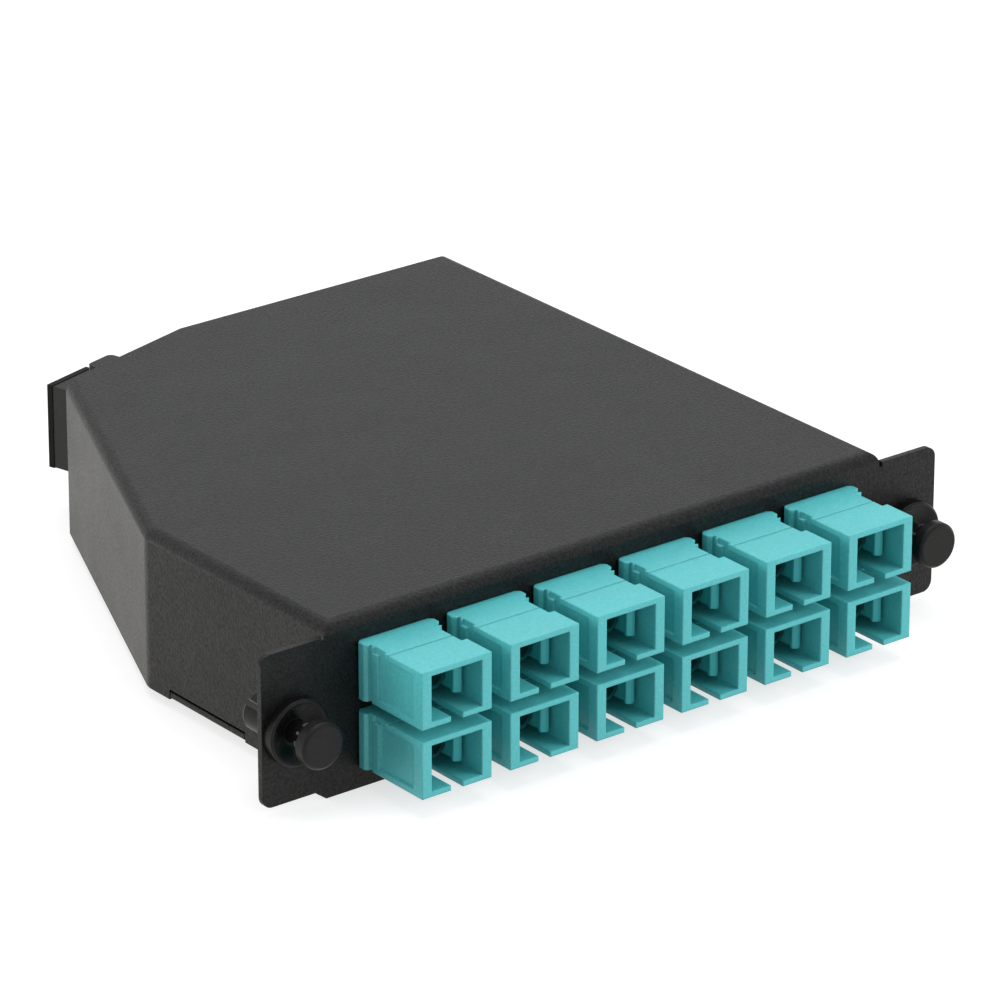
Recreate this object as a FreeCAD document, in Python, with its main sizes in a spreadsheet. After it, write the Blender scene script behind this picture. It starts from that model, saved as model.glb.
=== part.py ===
import FreeCAD, Part
import os
import Sketcher

# Fibre cassette: a folded steel case with twelve simplex adapters in its front panel,
# two push-pull latches in its ears and an upright multi-fibre adapter at the rear.
#
# Frame: millimetres, +X right along the panel, +Y into the case, +Z up. The origin is
# midway between the two latches, in the plane of the ears' rear faces, which seat
# against the enclosure.

# Driving dimensions: alias, value, what it is
DIMENSIONS = [
    # Folded case
    ("gauge", 1.0, "thickness of the folded sheet"),
    ("bend_outer", 2.0, "outer radius of a fold"),
    ("body_depth", 107.7, "rear wall's outer face, behind the ears' rear faces"),
    ("top_level", 14.9, "top of the case above the latches"),
    ("wall_foot", -11.3, "lower edge of the side walls"),
    ("lip_foot", -12.9, "lower edge of the front flange"),
    ("ear_reach", 11.55, "how far an ear stands out from the case's side"),
    ("ear_top", 13.05, "upper edge of the ears"),
    ("ear_foot", -11.45, "lower edge of the ears"),
    ("ear_corner", 1.8, "radius of the ears' outer corners"),
    ("ear_taper", 2.0, "width of the step from the flange's lower edge to an ear's"),
    ("relief_width", 0.6, "bend relief beside an ear"),
    ("relief_depth", 0.8, "bend relief beside an ear"),
    ("corner_gap", 0.3, "slit between the front flange and a side wall"),
    ("side_run", 44.3, "where the left wall turns into the slanted one"),
    ("skew_angle", 23.4, "slanted left wall, from +Y"),
    ("rear_angle", 15.3, "slanted rear wall, from +X"),
    ("rear_turn", -1.6, "where the rear wall turns into the slanted one"),
    ("slot_start", 19.2, "front end of the side walls' low cut-outs"),
    ("slot_length", 19.4, "length of these cut-outs"),
    ("slot_gap", 0.4, "gap above the pan's tab in a cut-out"),
    ("tongue_place", 10.4, "tongue over the rear adapter, from the left corner"),
    ("tongue_width", 5.8, "the tongue"),
    ("tongue_reach", 2.0, "how far the tongue stands out"),
    ("tongue_corner", 1.0, "radius of the tongue's corners"),
    ("sheet_gap", 0.15, "clearance between the two sheets"),
    ("pan_level", -11.0, "underside of the base pan"),
    # Fastening of the two sheets
    ("post_radius", 2.9, "six-sided threaded standoff, over its corners"),
    ("post_bore", 1.6, "radius of its bore"),
    ("post_bore_depth", 8.0, "depth of its bore"),
    ("post_side_gap", 1.2, "between a standoff and the side wall"),
    ("post_front_y", 20.0, "front standoffs"),
    ("post_rear_inset", 8.0, "rear standoffs, from the rear walls"),
    ("post_skew_place", 25.5, "left rear standoff, along the slanted rear wall"),
    ("screw_radius", 1.5, "screw"),
    ("screw_length", 7.0, "screw under its head"),
    ("screw_head_radius", 2.75, "screw head"),
    ("screw_head_height", 1.5, "screw head"),
    ("hole_gap", 0.1, "clearance round a screw in the pan"),
    # Rows of adapters
    ("column_gap", 1.2, "between the clips of neighbouring columns"),
    ("side_margin", 6.3, "between the outer adapters and the case's side faces"),
    ("row_pitch", 11.1, "adapter rows"),
    ("row_middle", 0.75, "middle between the rows"),
    ("adapter_width", 12.8, "simplex adapter"),
    ("adapter_height", 9.1, "simplex adapter"),
    ("adapter_nose", 15.0, "length before the panel"),
    ("adapter_tail", 12.0, "length behind the panel"),
    ("adapter_slack", 0.1, "clearance round an adapter in its cut-out"),
    ("flange_side", 0.55, "how far the flange stands out sideways"),
    ("flange_length", 2.1, "flange before the panel"),
    ("flange_bevel", 0.45, "bevel of the flange's upright edges"),
    ("groove_length", 0.8, "groove beside the flange"),
    ("groove_depth", 0.4, "groove beside the flange"),
    ("left_notch_depth", 0.5, "notch in the upper left edge"),
    ("left_notch_end", 5.9, "its end, before the panel"),
    ("right_notch_depth", 1.0, "notch in the upper right edge"),
    ("right_notch_end", 9.1, "its end, before the panel"),
    ("notch_start", 3.1, "both notches' start, before the panel"),
    ("seam_place", 7.0, "seam across the top, before the panel"),
    ("seam_width", 0.25, "seam across the top"),
    ("recess_start", 4.4, "side recess's start, before the panel"),
    ("recess_end", 12.8, "side recess's end, before the panel"),
    ("recess_depth", 0.5, "side recess"),
    ("recess_lip", 1.0, "ledge below and above a side recess"),
    ("port_width", 9.3, "plug's way through an adapter"),
    ("port_height", 7.4, "plug's way through an adapter"),
    ("keyway_width", 2.2, "slot in the port's floor"),
    ("keyway_length", 11.0, "slot in the port's floor"),
    # Inside an adapter
    ("insert_slack", 0.1, "clearance of the insert in its housing"),
    ("bulkhead", 1.6, "insert's middle plate"),
    ("arm_gap", 1.1, "between a latch arm and the port's wall"),
    ("arm_thick", 1.0, "latch arm"),
    ("arm_height", 4.8, "latch arm"),
    ("arm_reach", 8.3, "latch arm, from the middle plate"),
    ("hook_rise", 0.6, "latch arm's hook"),
    ("hook_length", 1.8, "latch arm's hook"),
    ("holder_wall", 0.65, "sleeve holder"),
    ("holder_past", 0.6, "sleeve holder past the sleeve's ends"),
    ("sleeve_outer", 1.65, "radius of the split ceramic sleeve"),
    ("sleeve_wall", 0.4, "split ceramic sleeve"),
    ("sleeve_length", 11.4, "split ceramic sleeve"),
    ("sleeve_slit", 0.4, "split ceramic sleeve"),
    ("sleeve_fit", 0.05, "clearance of the sleeve in its holder"),
    ("clip_thick", 0.3, "spring clip behind the panel"),
    ("clip_length", 4.0, "spring clip, along the adapter"),
    ("clip_drop", 7.0, "spring clip's legs"),
    ("clip_gap", 0.05, "clearance between clip and adapter"),
    ("clip_wing", 0.8, "how far its wings stand out"),
    ("clip_wing_height", 3.0, "its wings"),
    # Push-pull latches
    ("latch_inset", 5.6, "latch, from the ear's outer edge"),
    ("ring_radius", 5.3, "grommet's ring"),
    ("ring_thick", 2.0, "grommet's ring"),
    ("ring_bevel", 0.3, "bevel round the ring's face"),
    ("dish_radius", 4.8, "funnel in the ring's face"),
    ("dish_depth", 1.5, "funnel in the ring's face"),
    ("dish_land", 0.3, "flat round the bore, in the funnel"),
    ("stud_radius", 3.05, "grommet's split stud"),
    ("stud_length", 7.6, "behind the ears' rear faces"),
    ("stud_slack", 0.1, "clearance of the stud in its hole"),
    ("stud_slot", 0.8, "slots between the stud's legs"),
    ("stud_neck", 1.2, "unsplit part of the stud"),
    ("stud_bevel", 0.6, "bevel round the stud's end"),
    ("shaft_radius", 1.75, "plunger's shaft"),
    ("shaft_gap", 0.08, "running clearance round the shaft"),
    ("shaft_short", 2.2, "shaft short of the stud's end while pulled out"),
    ("knob_radius", 3.7, "plunger's knob"),
    ("knob_thick", 2.6, "plunger's knob"),
    ("knob_bevel", 0.45, "bevel of the knob's rims"),
    ("knob_gap", 3.1, "between the knob and the ring"),
    ("neck_radius", 3.0, "tapered neck behind the knob"),
    ("neck_end_radius", 2.2, "tapered neck behind the knob"),
    ("neck_length", 1.4, "tapered neck behind the knob"),
    # Multi-fibre adapter, upright on the slanted rear wall
    ("rear_place", 11.95, "its middle, along the slanted wall from the left corner"),
    ("rear_level", 2.5, "height of its middle"),
    ("rear_wide", 9.5, "adapter, across"),
    ("rear_tall", 14.1, "adapter, upright"),
    ("rear_reach", 10.1, "adapter, out of the wall"),
    ("rear_inside", 7.0, "adapter, inside the wall"),
    ("rear_slack", 0.1, "clearance round it in the wall"),
    ("rear_flange_thick", 1.4, "its flange"),
    ("rear_flange_wide", 1.2, "how far its flange stands out sideways"),
    ("rear_flange_tall", 2.3, "how far its flange stands out up and down"),
    ("rear_collar", 1.1, "length of its end collar"),
    ("rear_collar_rise", 0.12, "step up to the end collar"),
    ("rear_wall", 0.9, "its walls"),
    ("rear_port_depth", 8.2, "plug's way, from its outer end"),
    ("rear_web", 1.0, "wall between the plug's two ways"),
    ("rear_key_depth", 0.5, "key groove"),
    ("rear_key_width", 3.0, "key groove"),
    ("rear_window_wide", 2.9, "opening for the ferrule, across"),
    ("rear_window_tall", 7.0, "opening for the ferrule, upright"),
    ("rear_clip_thick", 0.4, "retaining clip inside the wall"),
    ("rear_clip_rim", 1.8, "rim of the retaining clip"),
    # Fibre guides on the pan
    ("guide_x", 8.0, "middle of their ring"),
    ("guide_y", 60.0, "middle of their ring"),
    ("guide_radius", 19.0, "outer face of their walls"),
    ("guide_wall", 1.4, "thickness of their walls"),
    ("guide_height", 13.0, "guides, over all"),
    ("guide_sweep", 50.0, "angle over which a guide's wall runs"),
    ("guide_foot", 5.0, "how far the foot stands inwards and the finger outwards"),
    ("guide_foot_thick", 1.2, "foot and finger"),
    ("finger_sweep", 20.0, "angle over which a finger runs"),
]

COLUMNS = 6
ROWS = {"upper": 1, "lower": -1}
SIDES = {"left": -1, "right": 1}
TUBE_SIDES = 8  # flat sides of the small tubes that repeat
HEAD_SIDES = 16  # flat sides of a screw head
CHORDS = 4  # straight runs in a fibre guide's arc
GUIDES = 4

doc = FreeCAD.newDocument("FibreCassette")
sheet = doc.addObject("Spreadsheet::Sheet", "Dims")
for row, (alias, number, meaning) in enumerate(DIMENSIONS, start=1):
    sheet.set(f"A{row}", alias)
    sheet.set(f"B{row}", str(number))
    sheet.setAlias(f"B{row}", alias)
    sheet.set(f"C{row}", meaning)
doc.recompute()


# Expressions over the driving dimensions

def dim(alias):
    return f"Dims.{alias}"


def add(*terms):
    return "(" + " + ".join(str(term) for term in terms) + ")"


def less(first, *others):
    return "(" + " - ".join(str(term) for term in (first,) + others) + ")"


def minus(term):
    return f"(0 - {term})"


def times(first, second):
    return f"({first} * {second})"


def half(term):
    return f"({term} / 2)"


def value(expression):
    """Number that an expression gives."""
    return float(sheet.evalExpression(str(expression)))


gauge = dim("gauge")
past = 1.0  # how far a cutting outline runs past a face

# Levels and planes that several pieces share
panel_front = minus(gauge)
clip_reach = add(dim("clip_gap"), dim("clip_thick"), dim("clip_wing"))
column_pitch = add(dim("adapter_width"), times(2, clip_reach), dim("column_gap"))
row_half = half(add(times(COLUMNS - 1, column_pitch), dim("adapter_width")))
side_face = add(row_half, dim("side_margin"))
side_inside = less(side_face, gauge, dim("sheet_gap"))
ear_edge = add(side_face, dim("ear_reach"))
top_inside = less(dim("top_level"), gauge)
pan_top = add(dim("pan_level"), gauge)
adapter_front = less(panel_front, dim("adapter_nose"))
adapter_rear = dim("adapter_tail")
adapter_middle = half(add(adapter_front, adapter_rear))
port_half = half(dim("port_width"))
flange_width = add(dim("adapter_width"), times(2, dim("flange_side")))
latch_x = less(ear_edge, dim("latch_inset"))
ring_face = less(panel_front, dim("ring_thick"))
bore_radius = add(dim("shaft_radius"), dim("shaft_gap"))


# Outline of the case in plan

def left_turn(inset):
    """Y where the left wall turns into the slanted one, set in from the outer faces."""
    lean = dim("skew_angle")
    return f"({dim('side_run')} + ({inset} - {inset} / cos({lean})) / tan({lean}))"


def rear_corner(side_inset, rear_inset):
    """Corner of the slanted left wall and the slanted rear wall."""
    lean = f"tan({dim('skew_angle')})"
    rise = f"tan({dim('rear_angle')})"
    start = f"({side_inset} / cos({dim('skew_angle')}) - {side_face} - {dim('side_run')} * {lean})"
    back = f"({dim('body_depth')} - {rear_inset} / cos({dim('rear_angle')}) - {dim('rear_turn')} * {rise})"
    corner_x = f"(({start} + {back} * {lean}) / (1 - {lean} * {rise}))"
    return corner_x, f"({back} + {corner_x} * {rise})"


def rear_turn(inset):
    """Point where the slanted rear wall turns into the straight one."""
    rise = dim("rear_angle")
    shift = f"({inset} / cos({rise}) - {inset}) / tan({rise})"
    return add(dim("rear_turn"), shift), less(dim("body_depth"), inset)


def case_outline(side_inset, front, rear_inset):
    """The case in plan, with its side walls and rear walls set in from the outer faces."""
    turn_x, turn_y = rear_turn(rear_inset)
    right = less(side_face, side_inset)
    return [
        (minus(right), front),
        (right, front),
        (right, turn_y),
        (turn_x, turn_y),
        rear_corner(side_inset, rear_inset),
        (minus(right), left_turn(side_inset)),
    ]


def on_rear_wall(along, out):
    """Point in plan, along the slanted rear wall from its left corner and out of its face."""
    corner_x, corner_y = rear_corner("0", "0")
    cosine = f"cos({dim('rear_angle')})"
    sine = f"sin({dim('rear_angle')})"
    return (
        f"({corner_x} + {along} * {cosine} - {out} * {sine})",
        f"({corner_y} + {along} * {sine} + {out} * {cosine})",
    )


def post_places():
    """Standoffs: two in front, one in the right rear corner, one at the slanted wall."""
    side = less(side_inside, dim("post_side_gap"), dim("post_radius"))
    inset = dim("post_rear_inset")
    return [
        (minus(side), dim("post_front_y")),
        (side, dim("post_front_y")),
        (side, less(dim("body_depth"), inset)),
        on_rear_wall(dim("post_skew_place"), minus(inset)),
    ]


# Sketches and features. Start and end run along +X, +Y or +Z, square to the sketch plane.

def new_body(name):
    body = doc.addObject("PartDesign::Body", name)
    body.Label = name
    return body


def origin_item(body, role):
    return [item for item in body.Origin.OriginFeatures if item.Role == role][0]


def new_sketch(body, plane, level):
    """Sketch parallel to the XY, XZ or YZ plane, at a level along the third axis."""
    sketch = body.newObject("Sketcher::SketchObject", f"{body.Name}_sketch")
    sketch.AttachmentSupport = (origin_item(body, f"{plane}_Plane"), [""])
    sketch.MapMode = "FlatFace"
    sketch.setExpression("AttachmentOffset.Base.z", minus(level) if plane == "XZ" else str(level))
    return sketch


def bind_point(sketch, geometry, end, point):
    """Holds one end of a line, or a circle's centre, at two expressions."""
    for kind, expression in zip(("DistanceX", "DistanceY"), point):
        index = sketch.addConstraint(Sketcher.Constraint(kind, -1, 1, geometry, end, value(expression)))
        sketch.setExpression(f"Constraints[{index}]", str(expression))


def draw_polygon(sketch, points):
    vectors = [FreeCAD.Vector(value(x), value(y), 0) for x, y in points]
    first = sketch.GeometryCount
    count = len(points)
    for index in range(count):
        sketch.addGeometry(Part.LineSegment(vectors[index], vectors[(index + 1) % count]), False)
    for index in range(count):
        follower = first + (index + 1) % count
        sketch.addConstraint(Sketcher.Constraint("Coincident", first + index, 2, follower, 1))
    for index, point in enumerate(points):
        bind_point(sketch, first + index, 1, point)


def draw_circle(sketch, centre, radius):
    middle = FreeCAD.Vector(value(centre[0]), value(centre[1]), 0)
    geometry = sketch.addGeometry(Part.Circle(middle, FreeCAD.Vector(0, 0, 1), value(radius)), False)
    bind_point(sketch, geometry, 3, centre)
    index = sketch.addConstraint(Sketcher.Constraint("Radius", geometry, value(radius)))
    sketch.setExpression(f"Constraints[{index}]", str(radius))


def draw(sketch, shapes):
    """Draws polygons, which are lists of points, and circles, which are (centre, radius)."""
    for shape in shapes:
        if isinstance(shape, tuple):
            draw_circle(sketch, *shape)
        else:
            draw_polygon(sketch, shape)


def block(low_x, high_x, low_y, high_y):
    """Rectangle between two values along each axis of a sketch."""
    return [(low_x, low_y), (high_x, low_y), (high_x, high_y), (low_x, high_y)]


def centred(width, height, middle_x="0", middle_y="0"):
    """Rectangle about a point."""
    return block(
        less(middle_x, half(width)), add(middle_x, half(width)),
        less(middle_y, half(height)), add(middle_y, half(height)),
    )


def many_sided(radius, sides=None):
    """Regular polygon about the origin, with a flat side on top."""
    sides = sides or TUBE_SIDES
    angles = [(index + 0.5) * 360 / sides + 90 for index in range(sides)]
    return [(times(radius, f"cos({angle})"), times(radius, f"sin({angle})")) for angle in angles]


def sector(inner, outer, sweep):
    """Part of a ring about the origin, halved by the X axis, with its arcs as short chords."""
    shares = [step / CHORDS - 0.5 for step in range(CHORDS + 1)]
    points = []
    for radius, order in ((inner, shares), (outer, shares[::-1])):
        for share in order:
            angle = times(sweep, share)
            points.append((times(radius, f"cos({angle})"), times(radius, f"sin({angle})")))
    return points


def pad(body, plane, shapes, start, end):
    sketch = new_sketch(body, plane, end if plane == "XZ" else start)
    draw(sketch, shapes)
    feature = body.newObject("PartDesign::Pad", f"{body.Name}_pad")
    feature.Profile = sketch
    feature.setExpression("Length", less(end, start))
    doc.recompute()
    return feature


def cut(body, plane, shapes, start, end):
    sketch = new_sketch(body, plane, start if plane == "XZ" else end)
    draw(sketch, shapes)
    before = body.Shape.Volume
    feature = body.newObject("PartDesign::Pocket", f"{body.Name}_cut")
    feature.Profile = sketch
    feature.setExpression("Length", less(end, start))
    doc.recompute()
    if not body.Shape.Volume < before:
        raise RuntimeError(f"{feature.Name} cuts nothing")
    return feature


def turn(body, points):
    """Turns a profile of (radius, y) points about the Y axis."""
    sketch = new_sketch(body, "XY", "0")
    draw_polygon(sketch, points)
    feature = body.newObject("PartDesign::Revolution", f"{body.Name}_turn")
    feature.Profile = sketch
    feature.ReferenceAxis = (origin_item(body, "Y_Axis"), [""])
    feature.Angle = 360
    doc.recompute()
    return feature


def repeat_along_x(body, feature, pitch, count):
    pattern = body.newObject("PartDesign::LinearPattern", f"{body.Name}_row")
    pattern.Originals = [feature]
    pattern.Direction = (origin_item(body, "X_Axis"), [""])
    pattern.Occurrences = count
    pattern.setExpression("Length", times(pitch, count - 1))
    body.Tip = pattern
    doc.recompute()


def middle_of(edge):
    return edge.valueAt((edge.FirstParameter + edge.LastParameter) / 2)


def near(first, second):
    return abs(first - value(second)) < 0.01


def dress(body, kind, size, test):
    """Rounds or bevels the straight edges that pass a test, which gets their ends and middle."""
    base = body.Tip
    names = []
    for index, edge in enumerate(base.Shape.Edges, start=1):
        points = [vertex.Point for vertex in edge.Vertexes] + [middle_of(edge)]
        if test(points):
            names.append(f"Edge{index}")
    feature = body.newObject(f"PartDesign::{kind}", f"{body.Name}_{kind.lower()}")
    feature.Base = (base, names)
    feature.setExpression("Radius" if kind == "Fillet" else "Size", size)
    doc.recompute()
    return feature


def place(item, point):
    for axis, expression in zip("xyz", point):
        item.setExpression(f"Placement.Base.{axis}", str(expression))


def copy_of(form, name, point):
    """Another piece of the same form, at its own place."""
    link = doc.addObject("App::Link", name)
    link.LinkedObject = form
    link.Label = name
    place(link, point)
    return link


def group_of(form, name, points):
    """Loose pieces of the same form that share one node."""
    group = doc.addObject("Part::Compound", name)
    group.Label = name
    group.Links = [copy_of(form, f"{name}_{index}", point) for index, point in enumerate(points, start=1)]
    return group


# Folded sheets

def rear_depth(point):
    """How far a point lies inside the rear walls' outer faces, in plan."""
    straight = value(dim("body_depth")) - point.y
    rise = value(f"tan({dim('rear_angle')})")
    slanted = straight + (point.x - value(dim("rear_turn"))) * rise
    return min(straight, slanted * value(f"cos({dim('rear_angle')})"))


def is_level(points, level):
    return all(near(point.z, level) for point in points)


def side_folds(level):
    """Test for the edges at a level that don't lie over the rear walls."""
    return lambda points: is_level(points, level) and not near(rear_depth(points[-1]), "0")


def rear_folds(level, depth):
    """Test for the edges at a level and at a depth inside the rear walls' outer faces."""
    return lambda points: is_level(points, level) and near(rear_depth(points[-1]), depth)


def make_top_cover():
    """Top, front flange with ears, and side walls; the rear is open."""
    body = new_body("top_cover")
    top = dim("top_level")
    foot = dim("wall_foot")
    low = less(foot, past)
    pad(body, "XY", [case_outline("0", panel_front, "0")], foot, top)
    dress(body, "Fillet", dim("bend_outer"), side_folds(top))
    cut(body, "XY", [case_outline(gauge, "0", minus(past))], foot, top_inside)
    dress(body, "Fillet", less(dim("bend_outer"), gauge), side_folds(top_inside))
    pad(body, "XZ", [panel_outline()], panel_front, "0")
    dress(body, "Fillet", dim("ear_corner"), is_ear_corner)
    cut_panel(body)
    slot_end = add(dim("slot_start"), dim("slot_length"))
    slot = block(dim("slot_start"), slot_end, low, add(pan_top, dim("slot_gap")))
    cut(body, "YZ", [slot], minus(add(side_face, past)), add(side_face, past))
    gap_middle = half(dim("corner_gap"))
    gaps = [
        centred(times(4, gauge), dim("corner_gap"), times(sign, side_face), gap_middle)
        for sign in SIDES.values()
    ]
    cut(body, "XY", gaps, low, less(top, dim("bend_outer")))
    pad(body, "XY", [tongue_outline()], top_inside, top)
    dress(body, "Fillet", dim("tongue_corner"), is_tongue_corner)
    return body


def panel_outline():
    """Front flange below its fold, with both ears and the bend reliefs beside them."""
    inner = add(side_face, dim("relief_width"))
    neck = less(dim("ear_top"), dim("relief_depth"))
    right = [
        (side_face, dim("lip_foot")),
        (add(side_face, dim("ear_taper")), dim("ear_foot")),
        (ear_edge, dim("ear_foot")),
        (ear_edge, dim("ear_top")),
        (inner, dim("ear_top")),
        (inner, neck),
    ]
    return right + [(minus(x), z) for x, z in reversed(right)]


def is_ear_corner(points):
    outer = all(near(abs(point.x), ear_edge) for point in points)
    return outer and near(abs(points[0].y - points[1].y), gauge)


def cut_panel(body):
    """Cut-outs for the adapters and holes for the latches."""
    width = add(dim("adapter_width"), times(2, dim("adapter_slack")))
    height = add(dim("adapter_height"), times(2, dim("adapter_slack")))
    first = [centred(width, height, column_x(0), row_z(sign)) for sign in ROWS.values()]
    windows = cut(body, "XZ", first, less(panel_front, past), past)
    repeat_along_x(body, windows, column_pitch, COLUMNS)
    radius = add(dim("stud_radius"), dim("stud_slack"))
    holes = [((times(sign, latch_x), "0"), radius) for sign in SIDES.values()]
    cut(body, "XZ", holes, less(panel_front, past), past)


def tongue_outline():
    """Tongue beyond the slanted rear edge, rooted in the top sheet."""
    ends = [(-1, minus(gauge)), (1, minus(gauge)), (1, dim("tongue_reach")), (-1, dim("tongue_reach"))]
    return [on_rear_wall(tongue_side(sign), out) for sign, out in ends]


def tongue_side(sign):
    return add(dim("tongue_place"), times(sign, half(dim("tongue_width"))))


def is_tongue_corner(points):
    """Whether an edge is upright and at the tongue's free end."""
    corners = [on_rear_wall(tongue_side(sign), dim("tongue_reach")) for sign in SIDES.values()]
    return any(all(near(point.x, x) and near(point.y, y) for point in points) for x, y in corners)


def make_base_pan():
    """Floor with two tabs, and the straight and the slanted rear wall."""
    body = new_body("base_pan")
    level = dim("pan_level")
    top = less(top_inside, dim("sheet_gap"))
    pad(body, "XY", [case_outline(add(gauge, dim("sheet_gap")), dim("sheet_gap"), "0")], level, top)
    dress(body, "Fillet", dim("bend_outer"), rear_folds(level, "0"))
    cut(body, "XY", [case_outline(minus(past), minus(past), gauge)], pan_top, top)
    dress(body, "Fillet", less(dim("bend_outer"), gauge), rear_folds(pan_top, gauge))
    tab_start = add(dim("slot_start"), dim("sheet_gap"))
    tab_end = less(add(dim("slot_start"), dim("slot_length")), dim("sheet_gap"))
    tabs = block(minus(side_face), side_face, tab_start, tab_end)
    pad(body, "XY", [tabs], level, pan_top)
    screw_hole = add(dim("screw_radius"), dim("hole_gap"))
    holes = [(point, screw_hole) for point in post_places()]
    cut(body, "XY", holes, less(level, past), add(pan_top, past))
    side = add(half(dim("rear_wide")), dim("rear_slack"))
    ends = [(-1, -2), (1, -2), (1, 1), (-1, 1)]
    window = [
        on_rear_wall(add(dim("rear_place"), times(sign, side)), times(out, gauge))
        for sign, out in ends
    ]
    reach = add(half(dim("rear_tall")), dim("rear_slack"))
    cut(body, "XY", [window], less(dim("rear_level"), reach), add(dim("rear_level"), reach))
    return body


# Simplex adapters. Each form is drawn about the middle of its port, at X = 0 and Z = 0.

def before_panel(distance):
    """Y at a distance before the panel's front face."""
    return less(panel_front, distance)


def make_adapter_housing_form():
    body = new_body("adapter_housing_form")
    width = dim("adapter_width")
    height = dim("adapter_height")
    side = half(width)
    roof = half(height)
    pad(body, "XZ", [centred(width, height)], adapter_front, adapter_rear)
    flange_start = before_panel(dim("flange_length"))
    pad(body, "XZ", [centred(flange_width, height)], flange_start, panel_front)
    dress(body, "Chamfer", dim("flange_bevel"), is_flange_edge)
    groove_start = less(flange_start, dim("groove_length"))
    shelf = less(roof, dim("recess_lip"))
    far_side = add(side, past)
    for sign, notch in ((-1, "left_notch"), (1, "right_notch")):
        inner = less(side, dim("groove_depth"))
        strip = block(times(sign, inner), times(sign, far_side), minus(add(roof, past)), add(roof, past))
        cut(body, "XZ", [strip], groove_start, flange_start)
        corner = less(side, dim(f"{notch}_depth"))
        step = block(times(sign, corner), times(sign, far_side), shelf, add(roof, past))
        cut(body, "XZ", [step], before_panel(dim(f"{notch}_end")), before_panel(dim("notch_start")))
        bed = less(side, dim("recess_depth"))
        recess = block(times(sign, bed), times(sign, far_side), minus(shelf), shelf)
        cut(body, "XZ", [recess], before_panel(dim("recess_end")), before_panel(dim("recess_start")))
    seam_start = before_panel(dim("seam_place"))
    seam = block(minus(far_side), far_side, less(roof, dim("seam_width")), add(roof, past))
    cut(body, "XZ", [seam], seam_start, add(seam_start, dim("seam_width")))
    port = centred(dim("port_width"), dim("port_height"))
    cut(body, "XZ", [port], adapter_front, adapter_rear)
    keyway = block(
        minus(half(dim("keyway_width"))), half(dim("keyway_width")),
        minus(add(roof, past)), minus(half(half(dim("port_height")))),
    )
    cut(body, "XZ", [keyway], adapter_front, add(adapter_front, dim("keyway_length")))
    return body


def is_flange_edge(points):
    """Whether an edge is an upright one of the flange."""
    return all(near(abs(point.x), half(flange_width)) for point in points) and near(points[0].y, points[1].y)


def make_adapter_insert_form():
    """Middle plate with the sleeve holder and a pair of latch arms to either end."""
    body = new_body("adapter_insert_form")
    slack = times(2, dim("insert_slack"))
    plate_start = less(adapter_middle, half(dim("bulkhead")))
    plate_end = add(adapter_middle, half(dim("bulkhead")))
    plate = centred(less(dim("port_width"), slack), less(dim("port_height"), slack))
    pad(body, "XZ", [plate], plate_start, plate_end)
    arm_half = half(dim("arm_height"))
    arms = [arm_outline(side, end) for side in SIDES.values() for end in SIDES.values()]
    pad(body, "XY", arms, minus(arm_half), arm_half)
    holder = add(dim("sleeve_outer"), dim("sleeve_fit"), dim("holder_wall"))
    reach = add(half(dim("sleeve_length")), dim("holder_past"))
    start = less(adapter_middle, reach)
    end = add(adapter_middle, reach)
    pad(body, "XZ", [many_sided(holder)], start, end)
    cut(body, "XZ", [many_sided(add(dim("sleeve_outer"), dim("sleeve_fit")))], start, end)
    return body


def arm_outline(side, end):
    """Latch arm in plan, on one side of the sleeve and towards one end of the adapter."""
    outer = less(port_half, dim("arm_gap"))
    inner = less(outer, dim("arm_thick"))
    hook = less(inner, dim("hook_rise"))
    root = half(half(dim("bulkhead")))
    tip = add(half(dim("bulkhead")), dim("arm_reach"))
    heel = less(tip, dim("hook_length"))
    nose = less(tip, half(half(dim("hook_length"))))
    points = [(outer, root), (outer, nose), (less(outer, half(dim("arm_thick"))), tip)]
    points += [(inner, tip), (hook, nose), (hook, less(nose, half(half(dim("hook_length")))))]
    points += [(inner, heel), (inner, root)]
    return [(times(side, x), add(adapter_middle, times(end, y))) for x, y in points]


def make_sleeve_form():
    """Ceramic sleeve, split along its top."""
    body = new_body("alignment_sleeve_form")
    reach = half(dim("sleeve_length"))
    start = less(adapter_middle, reach)
    end = add(adapter_middle, reach)
    inner = less(dim("sleeve_outer"), dim("sleeve_wall"))
    pad(body, "XZ", [many_sided(dim("sleeve_outer"))], start, end)
    cut(body, "XZ", [many_sided(inner)], start, end)
    slit = centred(dim("sleeve_slit"), dim("sleeve_outer"), "0", dim("sleeve_outer"))
    cut(body, "XZ", [slit], start, end)
    return body


def make_adapter_clip_form():
    """Bent strip over an adapter's top and sides, with wings behind the panel."""
    body = new_body("adapter_clip_form")
    near_side = add(half(dim("adapter_width")), dim("clip_gap"))
    far_side = add(near_side, dim("clip_thick"))
    near_top = add(half(dim("adapter_height")), dim("clip_gap"))
    far_top = add(near_top, dim("clip_thick"))
    foot = less(far_top, dim("clip_drop"))
    start = dim("clip_gap")
    arch = [
        (minus(far_side), foot), (minus(near_side), foot), (minus(near_side), near_top),
        (near_side, near_top), (near_side, foot), (far_side, foot),
        (far_side, far_top), (minus(far_side), far_top),
    ]
    pad(body, "XZ", [arch], start, add(start, dim("clip_length")))
    wing_half = half(dim("clip_wing_height"))
    for sign in SIDES.values():
        root = times(sign, half(add(near_side, far_side)))
        tip = times(sign, add(far_side, dim("clip_wing")))
        wing = block(root, tip, minus(wing_half), wing_half)
        pad(body, "XZ", [wing], start, add(start, dim("clip_thick")))
    return body


def column_x(column):
    return times(column - (COLUMNS - 1) / 2, column_pitch)


def row_z(sign):
    return add(dim("row_middle"), times(sign, half(dim("row_pitch"))))


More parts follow.
